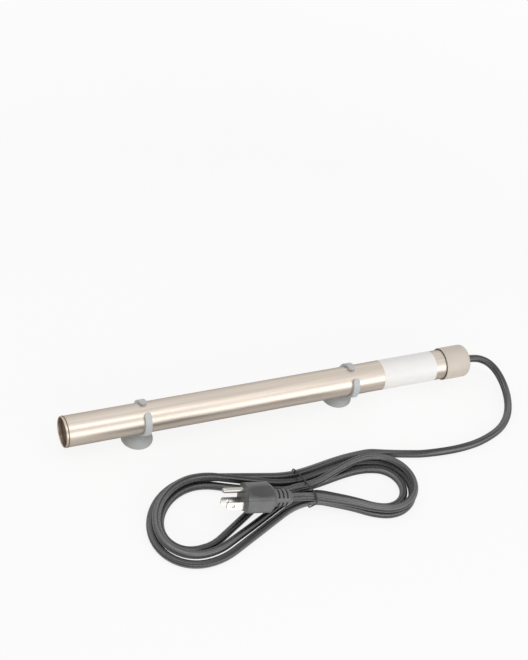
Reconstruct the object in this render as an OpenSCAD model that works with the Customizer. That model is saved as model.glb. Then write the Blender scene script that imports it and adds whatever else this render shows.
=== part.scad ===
// Submersible aquarium heater: a sealed titanium tube with a moulded cap, two suction holders,
// and a mains lead in a tied hank. The tube lies along X, its sealed end at -X.
// The origin is on the floor, under the middle of the heater.

/* [Tube] */
// Outer diameter of the titanium tube
tube_d = 28; // [24:0.5:34]
// Wall of the tube
tube_wall = 1.2; // [0.8:0.1:1.6]
// Length of tube that shows, from the sealed end to the cap
tube_l = 378; // [366:1:460]
// Height of the tube's underside above the surface that the cups stand on
tube_clear = 10.5; // [10:0.5:13]
// How far the end disc is set back from the tube's lip
end_recess = 3.5; // [2:0.5:8]
// Thickness of the end disc
end_disc_t = 2; // [1:0.5:4]
// Width of the weld bead round the end disc
bead_w = 1.6; // [1:0.2:2.4]

/* [Cap] */
// Wall of the cap over the tube
cap_wall = 1.5; // [1.3:0.1:3]
// Length of the cap
cap_l = 27; // [25:1:40]
// Radius of the cap's far edge
cap_round = 5; // [2:0.5:7]
// Depth of the tube in the cap
cap_socket = 12; // [8:1:14]
// End wall of the cap
cap_end_wall = 4.5; // [3:0.5:6]
// Depth of the seal in the cap's mouth
seal_depth = 1.2; // [0.8:0.2:3]
// How far the seal stands out of the cap's mouth
seal_proud = 0.3; // [0.1:0.1:0.8]
// Thickness of the seal round the tube
seal_t = 0.7; // [0.4:0.1:0.9]

/* [Label] */
// Bare tube between the label and the cap
label_gap = 11; // [6:1:14]
// Length of the label along the tube
label_l = 56; // [30:1:58]
// Thickness of the label
label_t = 0.15; // [0.1:0.05:0.3]
// Gap between the label's two edges
label_seam = 1.5; // [0.5:0.5:4]

/* [Holders] */
// Place of the left holder, from the sealed end
left_at = 74.5; // [66:0.5:90]
// Distance from the right holder's middle to the label
right_gap = 31; // [30:1:48]
// How far the left holder is turned back about the tube, in degrees
left_lean = 10; // [0:1:24]
// How far back the left cup stands
left_back = -1; // [-3:0.5:4]
// How far the left cup stands from its clip, toward the sealed end
left_aside = 3; // [0:0.5:7]
// How far the right holder is turned back about the tube, in degrees
right_lean = 22; // [0:1:24]
// How far back the right cup stands
right_back = 4; // [0:0.5:4]
// How far the right cup stands from its clip, toward the sealed end
right_aside = 6.5; // [0:0.5:7]
// Width of a clip's arms at their tips
clip_tip_w = 6; // [4:0.2:8]
// Width of a clip's arms at their root
clip_root_w = 9; // [8:0.5:12]
// Thickness of a clip's arms
clip_t = 2.4; // [1.8:0.2:3]
// Opening between the tips of the arms, in degrees
clip_gap = 36; // [20:2:60]
// Diameter of a suction cup
cup_d = 29; // [24:1:34]
// Height of a suction cup's crown
cup_h = 8; // [6.5:0.5:9]
// Depth of the hollow in a suction cup
cup_hollow = 3.4; // [2:0.2:3.6]
// Width of the flat lip round a suction cup
lip_w = 1.8; // [1:0.2:2.4]
// Height of that lip's edge
lip_h = 0.8; // [0.4:0.1:1.2]
// Diameter of the neck on the cup
neck_foot_d = 14; // [12:0.5:16]
// Diameter to which the neck would narrow at the tube's axis
neck_d = 7; // [6:0.5:10]

/* [Inside] */
// Length of the wound part of the element
heat_l = 205; // [150:5:215]
// Diameter of the ceramic core
core_d = 12; // [10:0.5:13]
// Diameter of the heating wire and of the rod that leads it back
wire_d = 1.6; // [1:0.2:1.8]
// Turns of the heating coil
coil_turns = 34; // [20:1:40]
// Thickness of the ceramic spacers
spacer_t = 6; // [4:1:10]
// Place of the lower spacer, from the sealed end
spacer_at = 14; // [10:1:20]
// Wall of the quartz sleeve
sleeve_wall = 1.8; // [1:0.2:2.2]
// Diameter of an insulated lead
lead_d = 2.4; // [2:0.1:2.6]
// Outer diameter of a crimp connector
crimp_d = 3.8; // [3.4:0.2:4.4]
// Length of a crimp connector
crimp_l = 12; // [10:1:16]
// Diameter of the thermal fuse
fuse_d = 4; // [3:0.5:5]
// Length of the thermal fuse
fuse_l = 11; // [8:1:14]
// Wall of the sleeve over the fuse
fuse_sleeve_t = 0.6; // [0.4:0.1:1]
// Length of the bung in the tube
bung_l = 14; // [8:1:18]
// Length of the potting between the bung and the tube's mouth
potting_l = 10; // [8:1:14]
// Depth of the cord's jacket in the potting
jacket_in = 7; // [4:0.5:7.5]

/* [Cord and plug] */
// Diameter of the cord
cord_d = 7.2; // [6.4:0.2:7.4]
// Outer diameter of the grommet in the cap
grommet_d = 11; // [10:0.5:13]
// Diameter of the tie's wire
tie_d = 1.3; // [0.8:0.1:1.4]
// Width of the plug's D-shaped face
plug_w = 25; // [24:0.5:27]
// Height of the plug's face
plug_h = 24; // [23:0.5:26]
// Length of the plug's body
plug_l = 28; // [24:1:30]
// Radius of the flat end at the back of the plug's body
plug_back_r = 8.5; // [8.5:0.5:10]
// Depth of the finger grip on each side of the plug's round top
grip_depth = 1; // [0.4:0.1:1.2]
// Length of the slotted strain relief
relief_l = 18; // [16:1:24]
// Diameter of the strain relief where it leaves the body
relief_d1 = 16; // [14:0.5:17]
// Diameter of the strain relief at its last slot
relief_d2 = 14; // [12:0.5:15]
// Length of the blades outside the body
blade_l = 17.5; // [15:0.5:19]
// Width of the blades
blade_w = 6.35; // [6:0.05:6.6]
// Thickness of the blades
blade_t = 1.5; // [1.3:0.1:1.7]
// Distance between the blades
blade_gap = 12.7; // [12:0.1:13.4]
// Diameter of the earth pin
pin_d = 4.76; // [4.5:0.02:5]
// Length of the earth pin outside the body
pin_l = 20.6; // [18:0.2:23]
// Distance from the blades' line to the earth pin
pin_rise = 11.9; // [11:0.1:12.4]

/* [Hidden] */
$fn = 64;
// Clearance of a fixed fit
fit = 0.03;
// Clearance of the clips on the tube
slide_fit = 0.06;
total_l = tube_l + cap_l;
axis_h = tube_d / 2 + tube_clear;
cap_d = tube_d + 2 * cap_wall;
label_at = tube_l - label_gap - label_l;
right_at = label_at - right_gap;
bore_r = tube_d / 2 - tube_wall;
cup_skin = 0.8;
inner_r = bore_r - fit;

// Element
sleeve_at = spacer_at + spacer_t;
coil_end_room = 8;
coil_rings = 8;
coil_flat = cos(180 / coil_rings);
coil_r = (core_d / 2 + wire_d / 2 + fit) / coil_flat;
coil_foot = (wire_d + fit) / coil_flat;
coil_angle = 210;
coil_in_turns = 1.5;
upper_at = sleeve_at + coil_end_room + heat_l;
seat_depth = 3;
rod_seat = 4;
terminal_l = 14;
crimp_depth = crimp_l / 2 - 1;
crimp_at = upper_at + spacer_t + terminal_l - crimp_depth;
fuse_tail = 8;
fuse_at = crimp_at + crimp_l - crimp_depth + fuse_tail;

// Mouth of the tube and cord entry
mouth_at = tube_l + cap_socket;
jacket_at = mouth_at - jacket_in;
potting_at = mouth_at - potting_l;
bung_at = potting_at - bung_l;
lead_r = 2.3;
lead_straight = 4;
lead_clear = 3;
lead_sides = 8;
lead_angles = [210, 330, 90];
tag_l = 8;
tag_w = 5;
tag_h = 4;
tag_gap = 34;
tag_at = bung_at - tag_gap;
tag_r = inner_r - tag_h / 2;
grommet_flange_t = 2;
grommet_clear = 0.5;
grommet_flange_d = grommet_d + 3;
grommet_taper_l = cap_l - cap_end_wall - grommet_flange_t - cap_socket - grommet_clear;

// Plug: it lies on the hank, its prongs to -X and turned a little back
plug_face = [-76, -110, 26];
plug_yaw = 5;
plug_dip = 8;
plug_roll = 30;
plug_floor = -9.3;
plug_corner_r = 2.5;
plug_parting = 0.4;
plug_round_r = plug_floor + plug_h + 1;
plug_round_at = plug_l - sqrt(pow(plug_round_r, 2) - pow(plug_back_r, 2));
grip_r = 60;
grip_angle = 38;
grip_reach = plug_w / 2 - plug_parting + grip_r - grip_depth;
blade_drop = 3.5;
prong_root = 9;
pin_root_d = pin_d - 0.8;
blade_hole_d = 3.2;
blade_hole_at = 11.7;
relief_slots = 3;
relief_first = 2.5;
relief_step = 4;
relief_slot_w = 1.5;
relief_slot_d = 2.2;
relief_web = 30;
relief_cone_l = 4;
plug_axis = [cos(plug_yaw) * cos(plug_dip), -sin(plug_yaw) * cos(plug_dip), -sin(plug_dip)];
relief_end = plug_face + (plug_l + relief_l) * plug_axis;

// Cord: the free stretch from the cap to the hank
cord_r = cord_d / 2;
cord_sides = 10;
hank_start = [63, -71.3, cord_r];
lead_route = [
    [total_l / 2, 0, axis_h],
    [total_l / 2 + 8, 0, axis_h],
    [total_l / 2 + 17, -2, 23.8],
    [total_l / 2 + 25, -7, 21.5],
    [total_l / 2 + 31, -15, 17],
    [total_l / 2 + 34, -26, 11.5],
    [total_l / 2 + 33, -39, 7],
    [total_l / 2 + 28, -52, 4.4],
    [total_l / 2 + 20, -63, cord_r],
    [total_l / 2 + 8, -73, cord_r],
    [total_l / 2 - 7, -80, cord_r],
    [total_l / 2 - 25, -85, cord_r],
    [total_l / 2 - 45, -87, cord_r],
    [total_l / 2 - 65, -86.5, cord_r],
    [total_l / 2 - 85, -84.3, cord_r],
    [total_l / 2 - 103, -80, cord_r],
    [total_l / 2 - 119, -75.6, cord_r],
    hank_start + [cord_d, 0, 0],
    hank_start,
];

// Hank: three loops drawn in at the waist, where the tie goes round them. On each side the
// inner strands run beside the outer one, and on the left one of them lies up on the other two.
hank_sides = 6;
run_rings = 3;
bend_rings = 7;
strand_step = cord_d + 0.9;
layer_step = cord_d + 0.6;
waist_x = -10;
waist_lift = tie_d + 0.6;
waist_back = -80;
waist_front = waist_back - 4 * strand_step;
lobe_centre = [[-111, -106.5], [61, -112.5]];
lobe_r = [44.5, 30];
lobe_turn = [0, 20];
lobe_lean = [0.2, 0];
laid_angle = 60;
laid_down = [1.6, 2.6];
inner_out = [1.4, 2.3];
ease = 0.25;
climb = [0.54, 0.96];
over = [0, 0.72];
nudge = 0.004;

// Tie: a closed wire round the waist, in arcs about the outermost strands
tie_sides = 8;
tie_gap = 0.35;
tie_arc_step = 32;
tie_reach = (cord_r + tie_d / 2 + tie_gap) / cos(tie_arc_step / 2);
tail_slack = 1;

// Vectors and sweeps
function unit(v) = v / norm(v);
function tangent(path, i) =
    unit(path[min(i + 1, len(path) - 1)] - path[max(i - 1, 0)]);
function loop_tangent(path, i) =
    unit(path[(i + 1) % len(path)] - path[(i + len(path) - 1) % len(path)]);
function ring(centre, along, ref, r, sides) =
    let (across = unit(cross(ref, along)), up = cross(along, across))
    [for (j = [0 : sides - 1])
        let (a = 360 * (j + 0.5) / sides)
        centre + r * (cos(a) * across + sin(a) * up)];
function tube_rings(path, r, sides, ref) =
    [for (i = [0 : len(path) - 1]) ring(path[i], tangent(path, i), ref, r, sides)];
function joined(lists) = [for (part = lists, item = part) item];

// A skin over rings of points, closed at its ends or round on itself
module skin(rings, looped = false) {
    sides = len(rings[0]);
    count = len(rings);
    bands = looped ? count : count - 1;
    walls = [
        for (i = [0 : bands - 1], j = [0 : sides - 1])
        let (a = i * sides, b = ((i + 1) % count) * sides, k = (j + 1) % sides)
        each [[a + j, b + j, b + k], [a + j, b + k, a + k]]
    ];
    last = (count - 1) * sides;
    caps = [
        for (j = [1 : sides - 2])
        each [[0, j, j + 1], [last, last + j + 1, last + j]]
    ];
    polyhedron(joined(rings), looped ? walls : concat(walls, caps));
}

// Places along the tube, measured from its sealed end, with local Z along the tube
module along_tube(at) {
    translate([at - total_l / 2, 0, axis_h])
        rotate([0, 90, 0])
            children();
}

module rod_at(at, l, d) {
    along_tube(at)
        cylinder(h = l, d = d);
}

// A point at a distance along the tube, and at a radius and an angle about its axis
function tube_point(at, r, a) = [at - total_l / 2, r * cos(a), axis_h + r * sin(a)];

module at_angle(r, a) {
    translate([0, r * cos(a), r * sin(a)])
        children();
}

module lead_holes(at, l) {
    for (a = lead_angles)
        at_angle(lead_r, a)
            rod_at(at - 1, l + 2, lead_d + 2 * fit);
}

module titanium_tube() {
    lip_r = tube_wall / 2;
    color("#c8beae")
        along_tube(0)
            rotate_extrude() {
                translate([bore_r, lip_r])
                    square([tube_wall, mouth_at - lip_r]);
                translate([bore_r + lip_r, lip_r])
                    circle(r = lip_r);
            }
}

module end_disc() {
    bead_r = bead_w / 2;
    color("#8f8578")
        along_tube(0) {
            translate([0, 0, end_recess])
                cylinder(h = end_disc_t, r = inner_r);
            rotate_extrude()
                translate([inner_r - bead_r, end_recess])
                    circle(r = bead_r);
        }
}

module end_cap() {
    color("#cfc7bb")
        along_tube(tube_l)
            difference() {
                rotate_extrude() {
                    square([cap_d / 2, cap_l - cap_round]);
                    square([cap_d / 2 - cap_round, cap_l]);
                    translate([cap_d / 2 - cap_round, cap_l - cap_round])
                        circle(r = cap_round);
                }
                translate([0, 0, -cap_round])
                    cylinder(h = cap_socket + cap_round, d = tube_d + 2 * fit);
                translate([0, 0, -cap_round])
                    cylinder(h = seal_depth + cap_round, d = tube_d + 2 * seal_t + 2 * fit);
                cylinder(h = cap_l - cap_end_wall, r = bore_r);
                cylinder(h = cap_l + 1, d = grommet_d);
            }
}

module cap_seal() {
    color("#5a524b")
        along_tube(tube_l - seal_proud)
            difference() {
                cylinder(h = seal_proud + seal_depth, d = tube_d + 2 * seal_t);
                translate([0, 0, -1])
                    cylinder(h = seal_proud + seal_depth + 2, d = tube_d + 2 * fit);
            }
}

module blank_label() {
    color("#ecebe7")
        along_tube(label_at)
            difference() {
                cylinder(h = label_l, d = tube_d + 2 * fit + 2 * label_t);
                translate([0, 0, -1])
                    cylinder(h = label_l + 2, d = tube_d + 2 * fit);
                translate([0, tube_d / 2, label_l / 2])
                    cube([label_seam, tube_d / 2, label_l + 2], center = true);
            }
}

module cord_grommet() {
    flange_at = total_l - cap_end_wall - grommet_flange_t;
    color("#3c3c3d")
        difference() {
            union() {
                rod_at(flange_at, grommet_flange_t + cap_end_wall, grommet_d - 2 * fit);
                rod_at(flange_at, grommet_flange_t, grommet_flange_d);
                along_tube(flange_at - grommet_taper_l)
                    cylinder(h = grommet_taper_l, d1 = cord_d + 2, d2 = grommet_d);
            }
            rod_at(flange_at - grommet_taper_l - 1, total_l, cord_d + 2 * fit);
        }
}

module cord_entry() {
    color("#2d2d2e")
        rod_at(jacket_at, total_l - jacket_at, cord_d);
}

module potting() {
    color("#3a3632")
        difference() {
            rod_at(potting_at, potting_l, 2 * inner_r);
            lead_holes(potting_at, potting_l);
            rod_at(jacket_at, total_l, cord_d + 2 * fit);
        }
}

module bung() {
    color("#c9553f")
        difference() {
            rod_at(bung_at, bung_l, 2 * inner_r);
            lead_holes(bung_at, bung_l);
        }
}

// A lead from the cord's jacket, straight through the bung and then over to its place
module lead(angle, to_at, to_r, to_angle) {
    bung_in = bung_at - lead_clear;
    gap = (bung_in - to_at) / 5;
    start = tube_point(jacket_at, lead_r, angle);
    finish = tube_point(to_at, to_r, to_angle);
    shift = finish - tube_point(to_at, lead_r, angle);
    route = [
        start,
        tube_point(jacket_at - lead_straight, lead_r, angle),
        tube_point(bung_at + bung_l / 2, lead_r, angle),
        tube_point(bung_in, lead_r, angle),
        tube_point(bung_in - gap, lead_r, angle) + 0.15 * shift,
        tube_point(bung_in - 2 * gap, lead_r, angle) + 0.5 * shift,
        tube_point(bung_in - 3 * gap, lead_r, angle) + 0.85 * shift,
        tube_point(bung_in - 4 * gap, to_r, to_angle),
        finish,
    ];
    skin(tube_rings(route, lead_d / 2, lead_sides, [0, 0, 1]));
}

module live_lead() {
    color("#2a2a2a")
        lead(lead_angles[0], fuse_at + fuse_l + fuse_tail, coil_r, coil_angle);
}

module neutral_lead() {
    color("#e8e4da")
        lead(lead_angles[1], crimp_at + crimp_l - crimp_depth, 0, 0);
}

module earth_lead() {
    color("#4f8a43")
        lead(lead_angles[2], tag_at + tag_l, tag_r, lead_angles[2]);
}

module earth_tag() {
    color("#b9a05a")
        intersection() {
            rod_at(tag_at, tag_l, 2 * inner_r);
            translate([tag_at - total_l / 2, -tag_w / 2, axis_h + inner_r - tag_h])
                cube([tag_l, tag_w, tag_h + 1]);
        }
}

module crimp_connectors() {
    color("#c9c9c9")
        for (place = [[0, 0], [coil_r, coil_angle]])
            at_angle(place[0], place[1])
                difference() {
                    rod_at(crimp_at, crimp_l, crimp_d);
                    rod_at(crimp_at - 1, crimp_depth + 1, wire_d + 2 * fit);
                    rod_at(crimp_at + crimp_l - crimp_depth, crimp_l, lead_d + 2 * fit);
                }
}

module thermal_fuse() {
    color("#d8d2c2")
        at_angle(coil_r, coil_angle) {
            rod_at(fuse_at, fuse_l, fuse_d);
            rod_at(fuse_at - fuse_tail, fuse_l + 2 * fuse_tail, lead_d);
        }
}

module fuse_sleeve() {
    color("#efe9d2")
        at_angle(coil_r, coil_angle)
            difference() {
                rod_at(fuse_at, fuse_l, fuse_d + 2 * fit + 2 * fuse_sleeve_t);
                rod_at(fuse_at - 1, fuse_l + 2, fuse_d + 2 * fit);
            }
}

module ceramic_core() {
    core_at = sleeve_at + coil_end_room;
    color("#e7dfcf")
        difference() {
            rod_at(core_at, heat_l + seat_depth, core_d);
            rod_at(core_at - 1, heat_l + seat_depth + 2, wire_d + 2 * fit);
        }
}

// The coil winds down the core from its terminal and ends in a flat spiral round the rod
function coil_point(i) =
    let (
        turn = i / coil_rings,
        top = upper_at - wire_d,
        bottom = sleeve_at + coil_end_room - wire_d,
        down = min(turn / coil_turns, 1),
        inward = max(turn - coil_turns, 0) / coil_in_turns,
        r = coil_r + (coil_foot - coil_r) * inward
    )
    tube_point(top + (bottom - top) * down, r, coil_angle + 360 * turn);

function from_axis(p) = [0, p.y, p.z - axis_h];

module heating_coil() {
    terminal_end = upper_at + spacer_t + terminal_l;
    path = concat(
        [
            tube_point(terminal_end, coil_r, coil_angle),
            tube_point(terminal_end - 2 * wire_d, coil_r, coil_angle),
            tube_point(upper_at, coil_r, coil_angle),
            tube_point(upper_at - wire_d / 2, coil_r, coil_angle + 8),
        ],
        [for (i = [1 : (coil_turns + coil_in_turns) * coil_rings]) coil_point(i)]
    );
    color("#a9693f")
        skin([for (i = [0 : len(path) - 1])
            ring(path[i], tangent(path, i), from_axis(path[i]), wire_d / 2, 6)]);
}

module return_rod() {
    rod_from = sleeve_at - rod_seat;
    color("#9c9c9c")
        rod_at(rod_from, crimp_at + crimp_depth - rod_from, wire_d);
}

module lower_spacer() {
    color("#efe8da")
        difference() {
            rod_at(spacer_at, spacer_t, 2 * inner_r);
            rod_at(sleeve_at - rod_seat, spacer_t, wire_d + 2 * fit);
        }
}

module upper_spacer() {
    color("#efe8da")
        difference() {
            rod_at(upper_at, spacer_t, 2 * inner_r);
            rod_at(upper_at - 1, seat_depth + 1, core_d + 2 * fit);
            rod_at(upper_at - 1, spacer_t + 2, wire_d + 2 * fit);
            at_angle(coil_r, coil_angle)
                rod_at(upper_at - 1, spacer_t + 2, wire_d + 2 * fit);
        }
}

module quartz_sleeve() {
    color("#dfe6e6")
        difference() {
            rod_at(sleeve_at, upper_at - sleeve_at, 2 * inner_r);
            rod_at(sleeve_at - 1, upper_at - sleeve_at + 2, 2 * (inner_r - sleeve_wall));
        }
}

// One rubber moulding: a C-clip round the tube, a neck and a suction cup that stands on the floor
// The clip is a ring round the tube, cut to arms that narrow upwards and have round tips
module clip_ring() {
    rotate([0, 90, 0])
        rotate_extrude()
            translate([tube_d / 2 + slide_fit, -clip_root_w / 2])
                square([clip_t, clip_root_w]);
}

module clip_arms() {
    tip_r = clip_tip_w / 2;
    tip_at = (tube_d + clip_t) / 2 * sin(clip_gap / 2) + tip_r;
    intersection() {
        clip_ring();
        union() {
            rotate([90, 0, 0])
                linear_extrude(height = 3 * tube_d, center = true)
                    polygon([
                        [-clip_root_w / 2, -tube_d],
                        [clip_root_w / 2, -tube_d],
                        [clip_root_w / 2, -tube_d / 2],
                        [tip_r, 0],
                        [-tip_r, 0],
                        [-clip_root_w / 2, -tube_d / 2],
                    ]);
            for (turn = [0, 180])
                rotate([0, 0, turn])
                    translate([0, tip_at, -clip_t])
                        linear_extrude(height = tube_d) {
                            circle(r = tip_r);
                            translate([-tip_r, 0])
                                square([clip_tip_w, tube_d]);
                        }
        }
    }
}

// Radius of the ball of which a dome of this height and foot is a part
function dome_r(h, foot) = (foot * foot + h * h) / (2 * h);

module cup() {
    foot = cup_d / 2;
    hollow_foot = foot - lip_w;
    ball_r = dome_r(cup_h - lip_h, foot);
    hollow_r = dome_r(cup_hollow, hollow_foot);
    difference() {
        intersection() {
            translate([0, 0, cup_h - ball_r])
                sphere(r = ball_r);
            cylinder(h = cup_h, r = foot);
        }
        translate([0, 0, cup_hollow - hollow_r])
            sphere(r = hollow_r);
    }
}

module holder(at, lean, back, aside) {
    clip_r = tube_d / 2 + slide_fit + clip_t / 2;
    neck_at = [-aside / 2, (back + clip_r * sin(lean)) / 2, cup_hollow + cup_skin];
    color("#a9aeb0")
        translate([at - total_l / 2, 0, 0]) {
            translate([0, 0, axis_h])
                rotate([lean, 0, 0])
                    clip_arms();
            difference() {
                translate(neck_at)
                    cylinder(h = axis_h - neck_at.z, d1 = neck_foot_d, d2 = neck_d);
                translate([0, 0, axis_h])
                    rotate([0, 90, 0])
                        cylinder(h = 2 * cup_d, d = tube_d + 2 * slide_fit + clip_t / 2, center = true);
            }
            translate([-aside, back, 0])
                cup();
        }
}

module left_holder() {
    holder(left_at, left_lean, left_back, left_aside);
}

module right_holder() {
    holder(right_at, right_lean, right_back, right_aside);
}

// Cord
module cord_lead() {
    color("#2b2b2c")
        skin(tube_rings(lead_route, cord_r, cord_sides, [0, 0, 1]));
}

// A share that starts and ends gently and keeps a steady slope between
function ramp(share) =
    let (u = max(0, min(1, share)), bend = 2 * ease * (1 - ease))
    u < ease ? u * u / bend
    : u > 1 - ease ? 1 - (1 - u) * (1 - u) / bend
    : (u - ease / 2) / (1 - ease);
// A point of a stretch along X, with its crossing and climb in parts of it and a slope at each end
function run_point(from, to, u, over_in = [0, 1], climb_in = [0, 1], leave = 0, arrive = 0) =
    let (
        l = to.x - from.x,
        aside = ramp((u - over_in[0]) / (over_in[1] - over_in[0])),
        rise = ramp((u - climb_in[0]) / (climb_in[1] - climb_in[0])),
        turn = leave * (u * u * u - 2 * u * u + u) + arrive * (u * u * u - u * u)
    )
    [
        from.x + l * u,
        from.y + (to.y - from.y) * aside + l * turn,
        from.z + (to.z - from.z) * rise,
    ];

// Where the outer strands pass the waist, where the cord crosses over it, and its end at the plug
waist_z = cord_r + waist_lift;
top_z = cord_r + layer_step;
lanes = [
    [waist_x, waist_back, waist_z],
    [waist_x, waist_front, waist_z],
    [waist_x, waist_back - strand_step, waist_z],
];
waist_cross = [waist_x, waist_back - 2.5 * strand_step, waist_z + layer_step];
tail = relief_end + cord_d * plug_axis;

// A point of the left or the right bend: 0 at the back, 180 at the front
function lobe_point(side, a, z) =
    let (
        out = side == 0 ? -1 : 1,
        t = lobe_turn[side],
        c = lobe_centre[side],
        along = lobe_r[side] * (out * sin(a) + lobe_lean[side] * cos(a)),
        across = lobe_r[side] * cos(a)
    )
    [c.x + across * sin(t) + along * cos(t), c.y + across * cos(t) - along * sin(t), z];
// A side's outer strand: 0 to 1 from the waist to the bend, 1 to 2 round it, 2 to 3 to the waist
function outer_point(side, s) =
    let (slope = -tan(lobe_turn[side]), first = side == 0 ? 0 : 180)
    s < 1 ? run_point(lanes[side], lobe_point(side, first, cord_r), s, arrive = slope)
    : s <= 2 ? lobe_point(side, first + (180 - 2 * first) * (s - 1), cord_r)
    : run_point(lobe_point(side, 180 - first, cord_r), lanes[side + 1], s - 2, leave = slope);
function beside(side, s, inward, up = 0) =
    let (step = outer_point(side, s + nudge) - outer_point(side, s - nudge), along = unit([step.x, step.y]))
    outer_point(side, s) + [-along.y * inward, along.x * inward, up];
// How far a strand is laid up, as an angle about its neighbour
function laid(s, down) =
    laid_angle * (s < 1 ? ramp(s) : 1 - ramp((s - down[0]) / (down[1] - down[0])));
function laid_point(s) =
    let (a = laid(s, laid_down))
    beside(0, s, strand_step * cos(a), strand_step * sin(a));
function inner_point(s) = beside(0, s, 2 * strand_step * cos(laid(s, inner_out)));
function crossing_point(s) =
    s < 2 ? inner_point(s) : run_point(inner_point(2), waist_cross, s - 2, over, climb);
function top_point(s) =
    let (slope = -tan(lobe_turn[1]))
    s < 1 ? run_point(waist_cross, lobe_point(1, 0, top_z), s, arrive = slope)
    : s <= 2 ? lobe_point(1, 180 * (s - 1), top_z)
    : run_point(lobe_point(1, 180, top_z), tail, s - 2, leave = slope, arrive = -tan(plug_yaw));

run_steps = [for (i = [0 : run_rings - 1]) i / run_rings];
half_steps = concat(
    run_steps,
    [for (i = [0 : bend_rings - 1]) 1 + i / bend_rings],
    [for (u = run_steps) 2 + u]
);
hank_path = concat(
    [hank_start, hank_start - [cord_d, 0, 0]],
    [for (u = run_steps) run_point(hank_start - [2 * cord_d, 0, 0], lanes[0], u)],
    [for (s = half_steps) outer_point(0, s)],
    [for (s = half_steps) outer_point(1, s)],
    [for (s = half_steps) laid_point(s)],
    [for (s = half_steps) beside(1, s, strand_step)],
    [for (s = half_steps) crossing_point(s)],
    [for (s = half_steps) top_point(s)],
    [tail, relief_end]
);

// The hank's least gap to itself, measured between points along it
hank_marks = [
    for (i = [0 : len(hank_path) - 2], part = [0 : 2])
    hank_path[i] + (hank_path[i + 1] - hank_path[i]) * part / 3
];
hank_gap = min([
    for (i = [0 : len(hank_marks) - 1], j = [i + 10 : 1 : len(hank_marks) - 1])
    norm(hank_marks[i] - hank_marks[j])
]) - cord_d;
function path_length(path) =
    [for (i = [0 : len(path) - 2]) norm(path[i + 1] - path[i])] * [for (i = [0 : len(path) - 2]) 1];
echo(hank_gap = hank_gap, hank_length = path_length(hank_path), lead_length = path_length(lead_route));

module cord_hank() {
    color("#2b2b2c")
        skin(tube_rings(hank_path, cord_r, hank_sides, [0, 0, 1]));
}

// The strand that goes up to the plug, where it passes the tie
function passing(a, b, x) = a + (b - a) * (x - a.x) / (b.x - a.x);
tail_pass = passing(hank_path[len(hank_path) - 3], tail, waist_x);
function tie_arc(strand, r, from, to) =
    let (steps = ceil((to - from) / tie_arc_step))
    [for (i = [0 : steps])
        let (a = from + (to - from) * i / steps)
        [waist_x, strand.y + r * cos(a), strand.z + r * sin(a)]];

module cord_tie() {
    path = concat(
        tie_arc(lanes[0], tie_reach, -90, 70),
        tie_arc(waist_cross, tie_reach, 70, 75),
        tie_arc(tail_pass, tie_reach + tail_slack, 75, 200),
        tie_arc(lanes[1], tie_reach, 200, 270)
    );
    color("#1c1c1d")
        skin(
            [for (i = [0 : len(path) - 1])
                ring(path[i], loop_tangent(path, i), [1, 0, 0], tie_d / 2, tie_sides)],
            looped = true
        );
}

// Plug, in its own frame: the face at its origin, the body behind it along +X
module at_plug() {
    translate(plug_face)
        rotate([0, 0, -plug_yaw])
            rotate([0, plug_dip, 0])
                rotate([-plug_roll, 0, 0])
                    children();
}

// The face: flat under the blades, round over the earth pin, with a parting line between
module plug_section() {
    half_w = plug_w / 2;
    side_h = plug_h - half_w;
    translate([0, plug_floor]) {
        translate([-half_w, plug_corner_r])
            square([plug_w, side_h - plug_corner_r]);
        translate([plug_corner_r - half_w, 0])
            square([plug_w - 2 * plug_corner_r, side_h]);
        for (side = [-1, 1])
            translate([side * (half_w - plug_corner_r), plug_corner_r])
                circle(r = plug_corner_r);
        translate([0, side_h])
            circle(r = half_w - plug_parting);
    }
}

module blade_shape(side, grow) {
    translate([-blade_l, side * blade_gap / 2 - blade_t / 2 - grow, -blade_drop - blade_w / 2 - grow])
        cube([blade_l + prong_root, blade_t + 2 * grow, blade_w + 2 * grow]);
}

// The body: its back is part of a ball, and a large ball presses a finger grip into each side
module plug_body() {
    color("#4b4c4e")
        at_plug()
            difference() {
                intersection() {
                    rotate([90, 0, 90])
                        linear_extrude(height = plug_l)
                            plug_section();
                    union() {
                        translate([-fit, -plug_w, -plug_w])
                            cube([plug_round_at + fit, 2 * plug_w, 2 * plug_w]);
                        translate([plug_round_at, 0, 0])
                            sphere(r = plug_round_r);
                    }
                }
                for (side = [-1, 1])
                    translate([plug_l / 2, side * grip_reach * cos(grip_angle), plug_floor + plug_h - plug_w / 2])
                        translate([0, 0, grip_reach * sin(grip_angle)])
                            sphere(r = grip_r);
                for (side = [-1, 1])
                    blade_shape(side, fit);
                translate([0, 0, pin_rise - blade_drop])
                    rotate([0, 90, 0])
                        cylinder(h = 2 * prong_root, d = pin_root_d + 2 * fit, center = true);
            }
}

module plug_relief() {
    straight_l = relief_l - relief_cone_l;
    color("#47484a")
        at_plug()
            translate([plug_l, 0, 0])
                rotate([0, 90, 0])
                    difference() {
                        union() {
                            cylinder(h = straight_l, d1 = relief_d1, d2 = relief_d2);
                            translate([0, 0, straight_l])
                                cylinder(h = relief_cone_l, d1 = relief_d2, d2 = cord_d + 2);
                        }
                        for (i = [0 : relief_slots - 1], turn = [90, 270])
                            translate([0, 0, relief_first + i * relief_step])
                                rotate([0, 0, turn + relief_web / 2])
                                    rotate_extrude(angle = 180 - relief_web)
                                        translate([relief_d2 / 2 - relief_slot_d, 0])
                                            square([relief_d1, relief_slot_w]);
                    }
}

module blade(side) {
    tip = blade_w / 4;
    color("#d6d6d3")
        at_plug()
            difference() {
                blade_shape(side, 0);
                translate([-blade_hole_at, side * blade_gap / 2, -blade_drop])
                    rotate([90, 0, 0])
                        cylinder(h = 2 * blade_t, d = blade_hole_d, center = true);
                for (edge = [-1, 1])
                    translate([-blade_l, side * blade_gap / 2, -blade_drop + edge * blade_w / 2])
                        rotate([0, 45, 0])
                            cube([tip, 2 * blade_t, tip], center = true);
            }
}

module live_blade() {
    blade(-1);
}

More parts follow.
